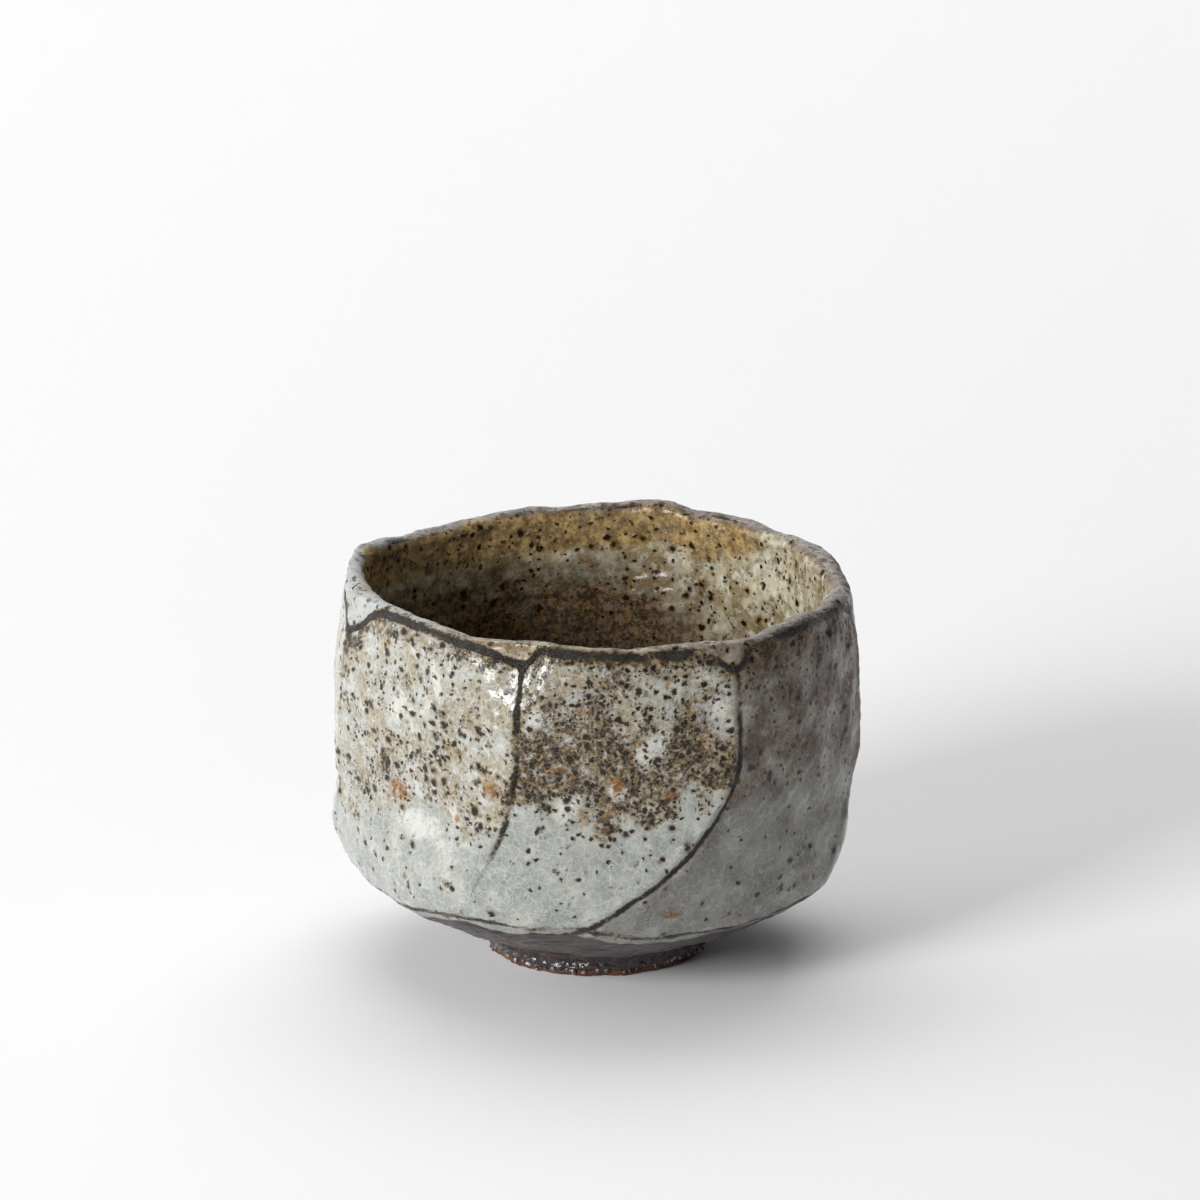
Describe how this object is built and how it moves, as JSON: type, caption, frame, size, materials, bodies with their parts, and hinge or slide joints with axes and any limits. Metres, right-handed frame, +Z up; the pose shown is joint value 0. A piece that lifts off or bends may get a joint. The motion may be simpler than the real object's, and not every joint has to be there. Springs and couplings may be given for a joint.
{
  "type": "matcha bowl",
  "caption": "Hand-cut stoneware tea bowl with swept facets, a soft wavy lip and a small glazed foot ring.",
  "frame": {"origin": "centre of the foot ring's resting plane", "axes": "+Z up through the mouth, -Y towards the front facet, +X to the right of it"},
  "size_m": [0.1168, 0.1151, 0.0857],
  "materials": {
    "clay": "fired iron-rich stoneware, matte",
    "foot_clay": "bare reddish-brown clay, matte",
    "outer_glaze": "pale blue-grey ash glaze with crackle and iron speckle, glossy",
    "lip_glaze": "thin glaze broken to brown over the lip, glossy",
    "inner_glaze": "beige-green ash glaze with dark pinholes and brown clouds, glossy",
    "iron_slip": "dark iron slip with turning lines, matte",
    "foot_glaze": "dark glassy run, glossy",
    "foot_beads": "pale glass beads, glossy"
  },
  "bodies": {
    "root": {"clay_bowl": "clay", "foot_ring": "foot_clay", "outer_glaze": "outer_glaze", "lip_glaze": "lip_glaze", "inner_glaze": "inner_glaze", "iron_slip": "iron_slip", "foot_glaze": "foot_glaze", "foot_beads": "foot_beads"}
  },
  "joints": []
}
